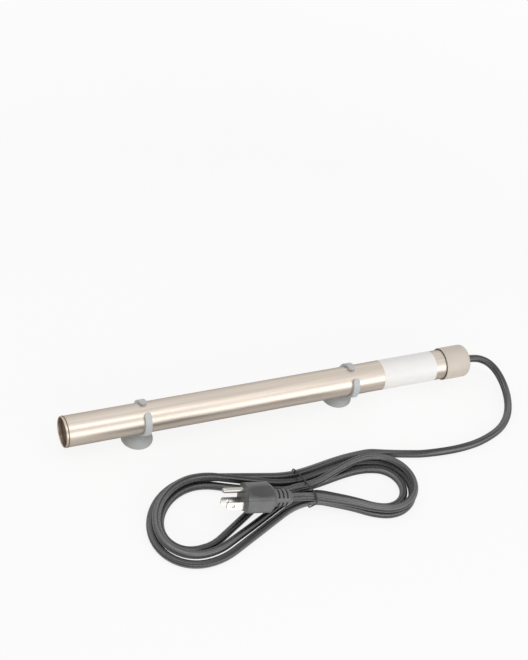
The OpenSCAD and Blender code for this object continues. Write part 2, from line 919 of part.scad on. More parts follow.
module neutral_blade() {
    blade(1);
}

module earth_pin() {
    tip_r = pin_d / 2;
    color("#d6d6d3")
        at_plug()
            translate([0, 0, pin_rise - blade_drop]) {
                translate([tip_r - pin_l, 0, 0]) {
                    sphere(r = tip_r);
                    rotate([0, 90, 0])
                        cylinder(h = pin_l - tip_r, d = pin_d);
                    rotate([0, 90, 0])
                        cylinder(h = pin_l - tip_r + prong_root, d = pin_root_d);
                }
            }
}

titanium_tube();
end_disc();
end_cap();
cap_seal();
blank_label();
cord_grommet();
cord_entry();
potting();
bung();
live_lead();
neutral_lead();
earth_lead();
earth_tag();
crimp_connectors();
thermal_fuse();
fuse_sleeve();
ceramic_core();
heating_coil();
return_rod();
lower_spacer();
upper_spacer();
quartz_sleeve();
left_holder();
right_holder();
cord_lead();
cord_hank();
cord_tie();
plug_body();
plug_relief();
live_blade();
neutral_blade();
earth_pin();
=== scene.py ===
import math
import bmesh
import bpy
from mathutils import Euler, Matrix, Vector


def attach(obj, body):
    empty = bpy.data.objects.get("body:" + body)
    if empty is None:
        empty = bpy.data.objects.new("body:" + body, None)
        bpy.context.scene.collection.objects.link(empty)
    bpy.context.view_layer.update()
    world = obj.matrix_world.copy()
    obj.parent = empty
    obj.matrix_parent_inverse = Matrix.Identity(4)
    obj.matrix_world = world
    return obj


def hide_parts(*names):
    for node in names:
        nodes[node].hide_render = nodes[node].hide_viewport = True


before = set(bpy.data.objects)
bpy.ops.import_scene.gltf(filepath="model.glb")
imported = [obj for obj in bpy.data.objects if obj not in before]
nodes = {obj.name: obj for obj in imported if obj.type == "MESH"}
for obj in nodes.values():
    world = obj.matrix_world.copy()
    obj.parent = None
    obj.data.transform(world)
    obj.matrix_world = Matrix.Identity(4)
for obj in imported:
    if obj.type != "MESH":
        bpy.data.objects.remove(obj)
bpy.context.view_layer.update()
mm = 0.001
heater = dict(long=405, axisHeight=24.5, tubeRadius=14)  # in mm, as the frame has it
capEnd = heater["long"] / 2
sealedEnd = -capEnd
print("frame loaded:", len(nodes), "nodes")


# small helpers

# an sRGB hex colour as linear values
def linear(hexColour):
    values = []
    for i in (1, 3, 5):
        value = int(hexColour[i:i + 2], 16) / 255
        values.append(value / 12.92 if value <= 0.04045 else ((value + 0.055) / 1.055) ** 2.4)
    return (*values, 1.0)


# adds one node; a node given as an input links its first output. Sockets go by name, or by number
# where the name alone finds another one
def addNode(tree, kind, inputs=None, **settings):
    node = tree.nodes.new("ShaderNode" + kind)
    for field, value in settings.items():
        setattr(node, field, value)
    for key, value in (inputs or {}).items():
        if isinstance(value, bpy.types.Node):
            value = value.outputs[0]
        if isinstance(value, bpy.types.NodeSocket):
            tree.links.new(value, node.inputs[key])
        else:
            node.inputs[key].default_value = value
    return node


mixA, mixB, mixed = 6, 7, 2  # the colour inputs and the colour output of a Mix node
noiseLow, noiseHigh = 0.3, 0.7  # most of a noise texture's values lie between these
edgeSamples = 4  # rays that each softened edge takes


# a new material, its node tree and its texture coordinates
def startMaterial(name):
    material = bpy.data.materials.new(name)
    material.use_nodes = True
    material.node_tree.nodes.clear()
    place = addNode(material.node_tree, "TexCoord")
    return material, material.node_tree, place


# the Mapping scale that makes one pattern cell this many mm along X, and this many across it
def cellSize(along, across=None):
    across = across or along
    return (1 / (along * mm), 1 / (across * mm), 1 / (across * mm))


def paint(material, *names):
    for name in names:
        piece = nodes[name]
        if not piece.material_slots:
            piece.data.materials.append(material)
        for slot in piece.material_slots:
            slot.material = material


# camera: place in mm, clipStart in m, and the directions of the picture's right, its top and the viewer

view = dict(lens=85, longSide=36, clipStart=0.05, place=(-558.1, -843.6, 1033.4),
            right=(0.9084, -0.3788, 0.1767),
            up=(0.1473, 0.6857, 0.7129),
            back=(-0.3912, -0.6216, 0.6787))

lens = bpy.data.cameras.new("studioCamera")
lens.lens = view["lens"]
lens.sensor_fit = "VERTICAL"
lens.sensor_height = view["longSide"]
lens.clip_start = view["clipStart"]
camera = bpy.data.objects.new("studioCamera", lens)
bpy.context.collection.objects.link(camera)
turn = Matrix([view["right"], view["up"], view["back"]]).transposed()
camera.matrix_world = Matrix.Translation(Vector(view["place"]) * mm) @ turn.to_4x4()
bpy.context.scene.camera = camera
print("camera set")


# mains cord: a free stretch from the cap, then a tied hank that ends in the plug; in mm and degrees

cord = dict(thick=7.2, start=(63, -71.3), waistX=-10, waistBack=-80, lift=1.9,
            strandStep=8.1, layerStep=7.8, laneOrder=(0, 4, 1), crossLane=2.5,
            ease=0.25, climb=(0.54, 0.96), over=(0, 0.72), nudge=0.004,
            laidAngle=60, laidDown=(1.6, 2.6), innerOut=(1.4, 2.3),
            plugFace=(-76, -110, 26), plugYaw=5, plugDip=8, plugLong=46,
            leadPoints=8, runPoints=20, bendPoints=40, easePasses=20, roundness=7)
# the two bends of the hank: centre, radius, turn, lean, the way along X that the bend goes out, and
# the angle at which the outer strand comes in
lobes = (dict(centre=(-111, -106.5), radius=44.5, turn=0, lean=0.2, out=-1, first=0),
         dict(centre=(61, -112.5), radius=30, turn=20, lean=0, out=1, first=180))


# a share of the way, with a soft start and a soft end
def eased(share):
    u = min(1, max(0, share))
    soft = cord["ease"]
    whole = 2 * soft * (1 - soft)
    if u < soft:
        return u * u / whole
    return 1 - (1 - u) ** 2 / whole if u > 1 - soft else (u - soft / 2) / (1 - soft)


# a point of the stretch from a to b, which runs along X: it crosses in the part over and climbs in
# the part climb, and leave and arrive are its slopes at the ends
def runPoint(a, b, u, over=(0, 1), climb=(0, 1), leave=0, arrive=0):
    run = b[0] - a[0]
    aside = eased((u - over[0]) / (over[1] - over[0]))
    rise = eased((u - climb[0]) / (climb[1] - climb[0]))
    bow = leave * (u ** 3 - 2 * u * u + u) + arrive * (u ** 3 - u * u)
    return Vector((a[0] + run * u,
                   a[1] + (b[1] - a[1]) * aside + run * bow,
                   a[2] + (b[2] - a[2]) * rise))


def slopeOf(side):
    return -math.tan(math.radians(lobes[side]["turn"]))


# a point of a bend: 0 at the back, 180 at the front
def lobePoint(side, angle, z):
    lobe = lobes[side]
    swing, turned = math.radians(angle), math.radians(lobe["turn"])
    along = lobe["radius"] * (lobe["out"] * math.sin(swing) + lobe["lean"] * math.cos(swing))
    across = lobe["radius"] * math.cos(swing)
    return Vector((lobe["centre"][0] + across * math.sin(turned) + along * math.cos(turned),
                   lobe["centre"][1] + across * math.cos(turned) - along * math.sin(turned), z))


# a place at the waist, counted in strands from the back
def waistPoint(lane, z):
    return (cord["waistX"], cord["waistBack"] - lane * cord["strandStep"], z)


cordThick = cord["thick"]
# heights of the cord's middle: on the floor, in the upper layer and at the waist
floorZ = cordThick / 2
topZ = floorZ + cord["layerStep"]
waistZ = floorZ + cord["lift"]
lanes = [waistPoint(lane, waistZ) for lane in cord["laneOrder"]]
waistCross = waistPoint(cord["crossLane"], waistZ + cord["layerStep"])
yaw, dip = math.radians(cord["plugYaw"]), math.radians(cord["plugDip"])
plugAxis = Vector((math.cos(yaw) * math.cos(dip), -math.sin(yaw) * math.cos(dip), -math.sin(dip)))
reliefEnd = Vector(cord["plugFace"]) + cord["plugLong"] * plugAxis
tail = reliefEnd + cordThick * plugAxis


# a side's outer strand: 0 to 1 from the waist to the bend, 1 to 2 round it, 2 to 3 to the waist
def outerPoint(side, s):
    first = lobes[side]["first"]
    last = 180 - first
    if s < 1:
        return runPoint(lanes[side], lobePoint(side, first, floorZ), s, arrive=slopeOf(side))
    if s <= 2:
        return lobePoint(side, first + (180 - 2 * first) * (s - 1), floorZ)
    return runPoint(lobePoint(side, last, floorZ), lanes[side + 1], s - 2, leave=slopeOf(side))


# a point inward of the outer strand, and up from it
def beside(side, s, inward, up=0):
    along = outerPoint(side, s + cord["nudge"]) - outerPoint(side, s - cord["nudge"])
    along.z = 0
    along.normalize()
    return outerPoint(side, s) + Vector((-along.y * inward, along.x * inward, up))


# how far a strand is laid up, as an angle about its neighbour
def laid(s, down):
    share = eased(s) if s < 1 else 1 - eased((s - down[0]) / (down[1] - down[0]))
    return math.radians(cord["laidAngle"] * share)


def laidPoint(s):
    raised = laid(s, cord["laidDown"])
    return beside(0, s, cord["strandStep"] * math.cos(raised), cord["strandStep"] * math.sin(raised))


def innerPoint(s):
    return beside(0, s, 2 * cord["strandStep"] * math.cos(laid(s, cord["innerOut"])))


def crossingPoint(s):
    if s < 2:
        return innerPoint(s)
    return runPoint(innerPoint(2), waistCross, s - 2, cord["over"], cord["climb"])


def topPoint(s):
    if s < 1:
        return runPoint(waistCross, lobePoint(1, 0, topZ), s, arrive=slopeOf(1))
    if s <= 2:
        return lobePoint(1, 180 * (s - 1), topZ)
    return runPoint(lobePoint(1, 180, topZ), tail, s - 2, leave=slopeOf(1), arrive=-math.tan(yaw))


def cordPath():
    # the free stretch, from the cap's end down to the floor and over to the hank
    x, z = capEnd, heater["axisHeight"]
    startX, startY = cord["start"]
    route = [(x, 0, z), (x + 8, 0, z), (x + 17, -2, 23.8), (x + 25, -7, 21.5), (x + 31, -15, 17),
             (x + 34, -26, 11.5), (x + 33, -39, 7), (x + 28, -52, 4.4), (x + 20, -63, floorZ),
             (x + 8, -73, floorZ), (x - 7, -80, floorZ), (x - 25, -85, floorZ), (x - 45, -87, floorZ),
             (x - 65, -86.5, floorZ), (x - 85, -84.3, floorZ), (x - 103, -80, floorZ),
             (x - 119, -75.6, floorZ), (startX + cordThick, startY, floorZ),
             (startX, startY, floorZ), (startX - cordThick, startY, floorZ)]
    route = [Vector(p) for p in route]
    points = []
    # a smooth curve through the route's points, which never sinks into the floor
    for i in range(len(route) - 2):
        p = [route[max(0, i - 1)], route[i], route[i + 1], route[i + 2]]
        for j in range(cord["leadPoints"]):
            u = j / cord["leadPoints"]
            q = p[1] + 0.5 * u * (p[2] - p[0] + u * (2 * p[0] - 5 * p[1] + 4 * p[2] - p[3]
                                                    + u * (3 * (p[1] - p[2]) + p[3] - p[0])))
            points.append(Vector((q.x, q.y, max(q.z, floorZ))))
    points += route[-2:]
    joinAt = len(points)
    # the hank: six half loops, each from the waist round a bend and back
    runs = [i / cord["runPoints"] for i in range(cord["runPoints"])]
    bend = [1 + i / cord["bendPoints"] for i in range(cord["bendPoints"])]
    half = runs + bend + [2 + u for u in runs]
    points += [runPoint((startX - 2 * cordThick, startY, floorZ), lanes[0], u) for u in runs]
    points += [outerPoint(0, s) for s in half]
    points += [outerPoint(1, s) for s in half]
    points += [laidPoint(s) for s in half]
    points += [beside(1, s, cord["strandStep"]) for s in half]
    points += [crossingPoint(s) for s in half]
    points += [topPoint(s) for s in half]
    points += [tail, reliefEnd]
    # the slight corner where the free stretch meets the hank is eased
    for _ in range(cord["easePasses"]):
        for i in range(joinAt - 4 * cord["leadPoints"], joinAt + cord["runPoints"]):
            points[i] = 0.5 * points[i] + 0.25 * (points[i - 1] + points[i + 1])
    return [p * mm for p in points]


path = cordPath()
cordLength = sum((b - a).length for a, b in zip(path, path[1:]))
cordLine = bpy.data.curves.new("mainsCord", "CURVE")
cordLine.dimensions = "3D"
spline = cordLine.splines.new("POLY")
spline.points.add(len(path) - 1)
for knot, p in zip(spline.points, path):
    knot.co = (*p, 1)
    knot.radius = cord["thick"] / 2 * mm
cordLine.bevel_depth = 1.0  # times each point's radius
cordLine.bevel_resolution = cord["roundness"]
cordLine.use_fill_caps = True
mainsCord = bpy.data.objects.new("mainsCord", cordLine)
bpy.context.collection.objects.link(mainsCord)
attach(mainsCord, "heater")
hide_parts("cord_lead", "cord_hank")
print("cord laid, length", round(cordLength, 3))


# weld bead: the low ring round the tube just behind its open end

bead = dict(setBack=2.3, thick=0.9, proud=0.3, sides=12, steps=96)
bm = bmesh.new()
bmesh.ops.create_circle(bm, segments=bead["sides"], radius=bead["thick"] / 2 * mm)
bmesh.ops.rotate(bm, matrix=Matrix.Rotation(math.pi / 2, 3, "X"), verts=bm.verts)
reach = heater["tubeRadius"] + bead["proud"] - bead["thick"] / 2
ringTop = Vector((sealedEnd + bead["setBack"], 0, heater["axisHeight"] + reach)) * mm
bmesh.ops.translate(bm, vec=ringTop, verts=bm.verts)
bmesh.ops.spin(bm, geom=bm.verts[:] + bm.edges[:], cent=(0, 0, heater["axisHeight"] * mm), axis=(1, 0, 0),
               angle=2 * math.pi, steps=bead["steps"], use_merge=True)
bmesh.ops.recalc_face_normals(bm, faces=bm.faces)
for face in bm.faces:
    face.smooth = True
beadMesh = bpy.data.meshes.new("weldBead")
bm.to_mesh(beadMesh)
bm.free()
weldBead = bpy.data.objects.new("weldBead", beadMesh)
bpy.context.collection.objects.link(weldBead)
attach(weldBead, "heater")
print("weld bead made")


# materials: patterns, edges and bump depths are in mm, rough is the range of the roughness

# brushed titanium: warm pale metal, drawn lengthwise, with streaks that are coarser than real ones so
# that they show
titanium = dict(light="#d9cec3", dark="#cabfb3", tint="#a58d72", sheen="#bcb8b5",
                streakLong=90, streakWide=1.3, bandLong=300, bandWide=5, tone=(0.8, 1.2),
                tintLong=5, tintMost=0.3, edge=0.6, rough=(0.31, 0.42), bump=0.03, bumpStrength=0.25)
tubeMetal, tree, place = startMaterial("brushedTitanium")
fine = addNode(tree, "Mapping", {"Vector": place.outputs["Object"],
                                 "Scale": cellSize(titanium["streakLong"], titanium["streakWide"])})
broad = addNode(tree, "Mapping", {"Vector": place.outputs["Object"],
                                  "Scale": cellSize(titanium["bandLong"], titanium["bandWide"])})
streak = addNode(tree, "TexNoise", {"Vector": fine, "Scale": 1, "Detail": 3})
band = addNode(tree, "TexNoise", {"Vector": broad, "Scale": 1, "Detail": 1})
both = addNode(tree, "Math", {0: streak, 1: band}, operation="ADD")
tone = addNode(tree, "MapRange", {"Value": both, "From Min": titanium["tone"][0],
                                  "From Max": titanium["tone"][1]})
plain = addNode(tree, "Mix", {"Factor": tone, mixA: linear(titanium["dark"]),
                              mixB: linear(titanium["light"])}, data_type="RGBA")
where = addNode(tree, "SeparateXYZ", {"Vector": place.outputs["Object"]})
nearEnd = addNode(tree, "MapRange", {"Value": where.outputs["X"],
                                     "From Min": (sealedEnd + titanium["tintLong"]) * mm,
                                     "From Max": sealedEnd * mm,
                                     "To Min": 0.0, "To Max": titanium["tintMost"]})
colour = addNode(tree, "Mix", {"Factor": nearEnd, mixA: plain.outputs[mixed],
                               mixB: linear(titanium["tint"])}, data_type="RGBA")
rough = addNode(tree, "MapRange", {"Value": streak, "From Min": noiseLow, "From Max": noiseHigh,
                                   "To Min": titanium["rough"][0], "To Max": titanium["rough"][1]})
soft = addNode(tree, "Bevel", {"Radius": titanium["edge"] * mm}, samples=edgeSamples)
relief = addNode(tree, "Bump", {"Height": streak, "Distance": titanium["bump"] * mm,
                                "Strength": titanium["bumpStrength"], "Normal": soft})
shader = addNode(tree, "BsdfPrincipled", {"Base Color": colour.outputs[mixed], "Roughness": rough,
                                          "Normal": relief, "Metallic": 1.0,
                                          "Specular Tint": linear(titanium["sheen"])})
addNode(tree, "OutputMaterial", {"Surface": shader})
paint(tubeMetal, "titanium_tube")

# welded titanium: dull disc, heat-tinted brown, with a rippled bead
weld = dict(light="#75665a", dark="#56483c", ripple=2.2, rough=(0.45, 0.65), bump=0.1, bumpStrength=0.5)
weldMetal, tree, place = startMaterial("weldedTitanium")
cells = addNode(tree, "Mapping", {"Vector": place.outputs["Object"], "Scale": cellSize(weld["ripple"])})
mottle = addNode(tree, "TexNoise", {"Vector": cells, "Scale": 1, "Detail": 4, "Roughness": 0.6})
tone = addNode(tree, "MapRange", {"Value": mottle, "From Min": noiseLow, "From Max": noiseHigh})
colour = addNode(tree, "Mix", {"Factor": tone, mixA: linear(weld["dark"]), mixB: linear(weld["light"])},
                 data_type="RGBA")
rough = addNode(tree, "MapRange", {"Value": mottle, "From Min": noiseLow, "From Max": noiseHigh,
                                   "To Min": weld["rough"][0], "To Max": weld["rough"][1]})
relief = addNode(tree, "Bump", {"Height": mottle, "Distance": weld["bump"] * mm,
                                "Strength": weld["bumpStrength"]})
shader = addNode(tree, "BsdfPrincipled", {"Base Color": colour.outputs[mixed], "Roughness": rough,
                                          "Normal": relief, "Metallic": 1.0})
addNode(tree, "OutputMaterial", {"Surface": shader})
paint(weldMetal, "end_disc")
beadMesh.materials.append(weldMetal)

# moulded ABS: warm pale grey, satin, with a fine spark-eroded grain drawn a little coarse
cap = dict(light="#d9cec2", dark="#cfc4b7", grain=1.1, patch=12, edge=0.5, rough=(0.4, 0.52),
           bump=0.05, bumpStrength=0.4, ior=1.53)
capPlastic, tree, place = startMaterial("mouldedAbs")
cells = addNode(tree, "Mapping", {"Vector": place.outputs["Object"], "Scale": cellSize(cap["grain"])})
grain = addNode(tree, "TexNoise", {"Vector": cells, "Scale": 1, "Detail": 3})
cells = addNode(tree, "Mapping", {"Vector": place.outputs["Object"], "Scale": cellSize(cap["patch"])})
cloud = addNode(tree, "TexNoise", {"Vector": cells, "Scale": 1, "Detail": 1})
colour = addNode(tree, "Mix", {"Factor": cloud, mixA: linear(cap["dark"]), mixB: linear(cap["light"])},
                 data_type="RGBA")
rough = addNode(tree, "MapRange", {"Value": grain, "From Min": noiseLow, "From Max": noiseHigh,
                                   "To Min": cap["rough"][0], "To Max": cap["rough"][1]})
soft = addNode(tree, "Bevel", {"Radius": cap["edge"] * mm}, samples=edgeSamples)
relief = addNode(tree, "Bump", {"Height": grain, "Distance": cap["bump"] * mm,
                                "Strength": cap["bumpStrength"], "Normal": soft})
shader = addNode(tree, "BsdfPrincipled", {"Base Color": colour.outputs[mixed], "Roughness": rough,
                                          "Normal": relief, "IOR": cap["ior"]})
addNode(tree, "OutputMaterial", {"Surface": shader})
paint(capPlastic, "end_cap")

# nitrile rubber: dark matt ring with a little dust
seal = dict(light="#5f554b", dark="#3f3831", grain=0.9, rough=(0.6, 0.8), bump=0.05, bumpStrength=0.4)
sealRubber, tree, place = startMaterial("nitrileRubber")
cells = addNode(tree, "Mapping", {"Vector": place.outputs["Object"], "Scale": cellSize(seal["grain"])})
dust = addNode(tree, "TexNoise", {"Vector": cells, "Scale": 1, "Detail": 3})
colour = addNode(tree, "Mix", {"Factor": dust, mixA: linear(seal["dark"]), mixB: linear(seal["light"])},
                 data_type="RGBA")
rough = addNode(tree, "MapRange", {"Value": dust, "From Min": noiseLow, "From Max": noiseHigh,
                                   "To Min": seal["rough"][0], "To Max": seal["rough"][1]})
relief = addNode(tree, "Bump", {"Height": dust, "Distance": seal["bump"] * mm,
                                "Strength": seal["bumpStrength"]})
shader = addNode(tree, "BsdfPrincipled", {"Base Color": colour.outputs[mixed], "Roughness": rough,
                                          "Normal": relief})
addNode(tree, "OutputMaterial", {"Surface": shader})
paint(sealRubber, "cap_seal")

# polypropylene film: plain white, satin, very slightly uneven over its glue
film = dict(light="#f7f6f4", dark="#f1efec", wave=9, rough=(0.34, 0.44),
            bump=0.05, bumpStrength=0.5, ior=1.49)
labelFilm, tree, place = startMaterial("polypropyleneFilm")
cells = addNode(tree, "Mapping", {"Vector": place.outputs["Object"], "Scale": cellSize(film["wave"])})
wave = addNode(tree, "TexNoise", {"Vector": cells, "Scale": 1, "Detail": 2})
colour = addNode(tree, "Mix", {"Factor": wave, mixA: linear(film["dark"]), mixB: linear(film["light"])},
                 data_type="RGBA")
rough = addNode(tree, "MapRange", {"Value": wave, "From Min": noiseLow, "From Max": noiseHigh,
                                   "To Min": film["rough"][0], "To Max": film["rough"][1]})
relief = addNode(tree, "Bump", {"Height": wave, "Distance": film["bump"] * mm,
                                "Strength": film["bumpStrength"]})
shader = addNode(tree, "BsdfPrincipled", {"Base Color": colour.outputs[mixed], "Roughness": rough,
                                          "Normal": relief, "IOR": film["ior"]})
addNode(tree, "OutputMaterial", {"Surface": shader})
paint(labelFilm, "blank_label")

# moulded rubber: pale grey satin clip that lets a little light in, with painted shade: darker low on the cup,
# under the tube
rubber = dict(arms="#c4c8c9", cup="#b2b4b1", grain=1.2, grainShare=0.3, low=3, high=15, edge=0.7,
              rough=(0.36, 0.48), bump=0.04, bumpStrength=0.4, glow=0.15, glowDeep=2)
holderRubber, tree, place = startMaterial("mouldedRubber")
cells = addNode(tree, "Mapping", {"Vector": place.outputs["Object"], "Scale": cellSize(rubber["grain"])})
grain = addNode(tree, "TexNoise", {"Vector": cells, "Scale": 1, "Detail": 3})
# painted shade: the colour goes from a darker grey low on the cup, under the tube, to the arms' grey higher
# up
where = addNode(tree, "SeparateXYZ", {"Vector": place.outputs["Object"]})
rise = addNode(tree, "MapRange", {"Value": where.outputs["Z"], "From Min": rubber["low"] * mm,
                                  "From Max": rubber["high"] * mm})
tone = addNode(tree, "Math", {0: grain, 1: rubber["grainShare"], 2: rise}, operation="MULTIPLY_ADD",
               use_clamp=True)
colour = addNode(tree, "Mix", {"Factor": tone, mixA: linear(rubber["cup"]), mixB: linear(rubber["arms"])},
                 data_type="RGBA")
rough = addNode(tree, "MapRange", {"Value": grain, "From Min": noiseLow, "From Max": noiseHigh,
                                   "To Min": rubber["rough"][0], "To Max": rubber["rough"][1]})
soft = addNode(tree, "Bevel", {"Radius": rubber["edge"] * mm}, samples=edgeSamples)
relief = addNode(tree, "Bump", {"Height": grain, "Distance": rubber["bump"] * mm,
                                "Strength": rubber["bumpStrength"], "Normal": soft})
shader = addNode(tree, "BsdfPrincipled", {"Base Color": colour.outputs[mixed], "Roughness": rough,
                                          "Normal": relief, "Subsurface Weight": rubber["glow"],
                                          "Subsurface Radius": (rubber["glowDeep"] * mm,) * 3})
addNode(tree, "OutputMaterial", {"Surface": shader})
paint(holderRubber, "left_holder", "right_holder")

# soft PVC: grey-black satin jacket with fine drawing lines along it, drawn coarse enough to show, and painted
# highlight streaks along them in its colour
jacket = dict(light="#6a6a6a", dark="#0e0e0e", lineLong=140, lineWide=2.3, grain=1.2, grainShare=0.12,
              tone=(0.48, 0.7), rough=(0.22, 0.32), bump=0.3, bumpStrength=0.6, ior=1.53, gloss=0.6)
cordJacket, tree, place = startMaterial("softPvc")
linesOver = (cordLength / (jacket["lineLong"] * mm), math.pi * cord["thick"] / jacket["lineWide"], 1)
along = addNode(tree, "Mapping", {"Vector": place.outputs["UV"], "Scale": linesOver})
lines = addNode(tree, "TexNoise", {"Vector": along, "Scale": 1, "Detail": 2})
cells = addNode(tree, "Mapping", {"Vector": place.outputs["Object"], "Scale": cellSize(jacket["grain"])})
grain = addNode(tree, "TexNoise", {"Vector": cells, "Scale": 1, "Detail": 3})
both = addNode(tree, "Math", {0: grain, 1: jacket["grainShare"], 2: lines}, operation="MULTIPLY_ADD")
tone = addNode(tree, "MapRange", {"Value": both, "From Min": jacket["tone"][0],
                                  "From Max": jacket["tone"][1]})
# painted highlight: the light streaks in the colour stand in for highlights along the strands; the same lines
# in the bump are real drawing lines
colour = addNode(tree, "Mix", {"Factor": tone, mixA: linear(jacket["dark"]), mixB: linear(jacket["light"])},
                 data_type="RGBA")
rough = addNode(tree, "MapRange", {"Value": grain, "From Min": noiseLow, "From Max": noiseHigh,
                                   "To Min": jacket["rough"][0], "To Max": jacket["rough"][1]})
relief = addNode(tree, "Bump", {"Height": both, "Distance": jacket["bump"] * mm,
                                "Strength": jacket["bumpStrength"]})
shader = addNode(tree, "BsdfPrincipled", {"Base Color": colour.outputs[mixed], "Roughness": rough,
                                          "Normal": relief, "IOR": jacket["ior"],
                                          "Specular IOR Level": jacket["gloss"]})
addNode(tree, "OutputMaterial", {"Surface": shader})
cordLine.materials.append(cordJacket)
paint(cordJacket, "cord_lead", "cord_hank", "cord_entry")

# moulded PVC: the plug, grey-black and satin, with an etched skin drawn a little coarse, and painted shade in
# its grip dishes
plug = dict(light="#6c6c6d", dark="#585859", gripShade="#3a3a3b", grain=0.9, patch=9, edge=0.6,
            roll=30, gripAt=(14, 2.2), gripAngle=38, gripReach=71.1, gripRadius=60, gripFade=2.4,
            rough=(0.34, 0.46), bump=0.05, bumpStrength=0.4, ior=1.53)
plugVinyl, tree, place = startMaterial("mouldedPvc")
cells = addNode(tree, "Mapping", {"Vector": place.outputs["Object"], "Scale": cellSize(plug["grain"])})
grain = addNode(tree, "TexNoise", {"Vector": cells, "Scale": 1, "Detail": 3})
cells = addNode(tree, "Mapping", {"Vector": place.outputs["Object"], "Scale": cellSize(plug["patch"])})
cloud = addNode(tree, "TexNoise", {"Vector": cells, "Scale": 1, "Detail": 2})
skin = addNode(tree, "Mix", {"Factor": cloud, mixA: linear(plug["dark"]), mixB: linear(plug["light"])},
               data_type="RGBA")
plugTurn = Euler((-math.radians(plug["roll"]), dip, -yaw)).to_matrix()
gripTilt = math.radians(plug["gripAngle"])
# painted shade: darker in the two shallow grip dishes, fading out within gripFade of each ball's surface
gripShades = []
for side in (-1, 1):  # the ball that pressed this grip, and how near its surface a point is
    ball = Vector((plug["gripAt"][0], side * plug["gripReach"] * math.cos(gripTilt),
                   plug["gripAt"][1] + plug["gripReach"] * math.sin(gripTilt)))
    ball = (Vector(cord["plugFace"]) + plugTurn @ ball) * mm
    away = addNode(tree, "VectorMath", {0: place.outputs["Object"], 1: ball}, operation="DISTANCE")
    near = addNode(tree, "MapRange", {"Value": away.outputs["Value"],
                                      "From Min": (plug["gripRadius"] + plug["gripFade"]) * mm,
                                      "From Max": plug["gripRadius"] * mm})
    gripShades.append(near)
gripShade = addNode(tree, "Math", {0: gripShades[0], 1: gripShades[1]}, operation="MAXIMUM")
colour = addNode(tree, "Mix", {"Factor": gripShade, mixA: skin.outputs[mixed], mixB: linear(plug["gripShade"])},
                 data_type="RGBA")
rough = addNode(tree, "MapRange", {"Value": grain, "From Min": noiseLow, "From Max": noiseHigh,
                                   "To Min": plug["rough"][0], "To Max": plug["rough"][1]})
soft = addNode(tree, "Bevel", {"Radius": plug["edge"] * mm}, samples=edgeSamples)
relief = addNode(tree, "Bump", {"Height": grain, "Distance": plug["bump"] * mm,
                                "Strength": plug["bumpStrength"], "Normal": soft})
shader = addNode(tree, "BsdfPrincipled", {"Base Color": colour.outputs[mixed], "Roughness": rough,
                                          "Normal": relief, "IOR": plug["ior"]})
addNode(tree, "OutputMaterial", {"Surface": shader})
paint(plugVinyl, "plug_body", "plug_relief", "cord_grommet")

# nickel-plated brass: bright blades with fine rolling marks along them
blade = dict(light="#c2c0ba", dark="#acaaa4", markLong=12, markWide=0.8, rough=(0.16, 0.28),
             bump=0.01, bumpStrength=0.3)
nickel, tree, place = startMaterial("nickelPlatedBrass")
cells = addNode(tree, "Mapping", {"Vector": place.outputs["Object"],
                                  "Scale": cellSize(blade["markLong"], blade["markWide"])})
marks = addNode(tree, "TexNoise", {"Vector": cells, "Scale": 1, "Detail": 2})
colour = addNode(tree, "Mix", {"Factor": marks, mixA: linear(blade["dark"]), mixB: linear(blade["light"])},
                 data_type="RGBA")
rough = addNode(tree, "MapRange", {"Value": marks, "From Min": noiseLow, "From Max": noiseHigh,
                                   "To Min": blade["rough"][0], "To Max": blade["rough"][1]})
relief = addNode(tree, "Bump", {"Height": marks, "Distance": blade["bump"] * mm,
                                "Strength": blade["bumpStrength"]})
shader = addNode(tree, "BsdfPrincipled", {"Base Color": colour.outputs[mixed], "Roughness": rough,
                                          "Normal": relief, "Metallic": 1.0})
addNode(tree, "OutputMaterial", {"Surface": shader})
paint(nickel, "live_blade", "neutral_blade", "earth_pin")

# PVC-coated wire: the black tie, smooth with small dents
wire = dict(light="#2b2b2c", dark="#1a1a1b", dent=1.5, rough=(0.3, 0.45),
            bump=0.05, bumpStrength=0.4, ior=1.53)
tieWire, tree, place = startMaterial("coatedWire")
cells = addNode(tree, "Mapping", {"Vector": place.outputs["Object"], "Scale": cellSize(wire["dent"])})
dents = addNode(tree, "TexNoise", {"Vector": cells, "Scale": 1, "Detail": 2})
colour = addNode(tree, "Mix", {"Factor": dents, mixA: linear(wire["dark"]), mixB: linear(wire["light"])},
                 data_type="RGBA")
rough = addNode(tree, "MapRange", {"Value": dents, "From Min": noiseLow, "From Max": noiseHigh,
                                   "To Min": wire["rough"][0], "To Max": wire["rough"][1]})
relief = addNode(tree, "Bump", {"Height": dents, "Distance": wire["bump"] * mm,
                                "Strength": wire["bumpStrength"]})
shader = addNode(tree, "BsdfPrincipled", {"Base Color": colour.outputs[mixed], "Roughness": rough,
                                          "Normal": relief, "IOR": wire["ior"]})
addNode(tree, "OutputMaterial", {"Surface": shader})
paint(tieWire, "cord_tie")

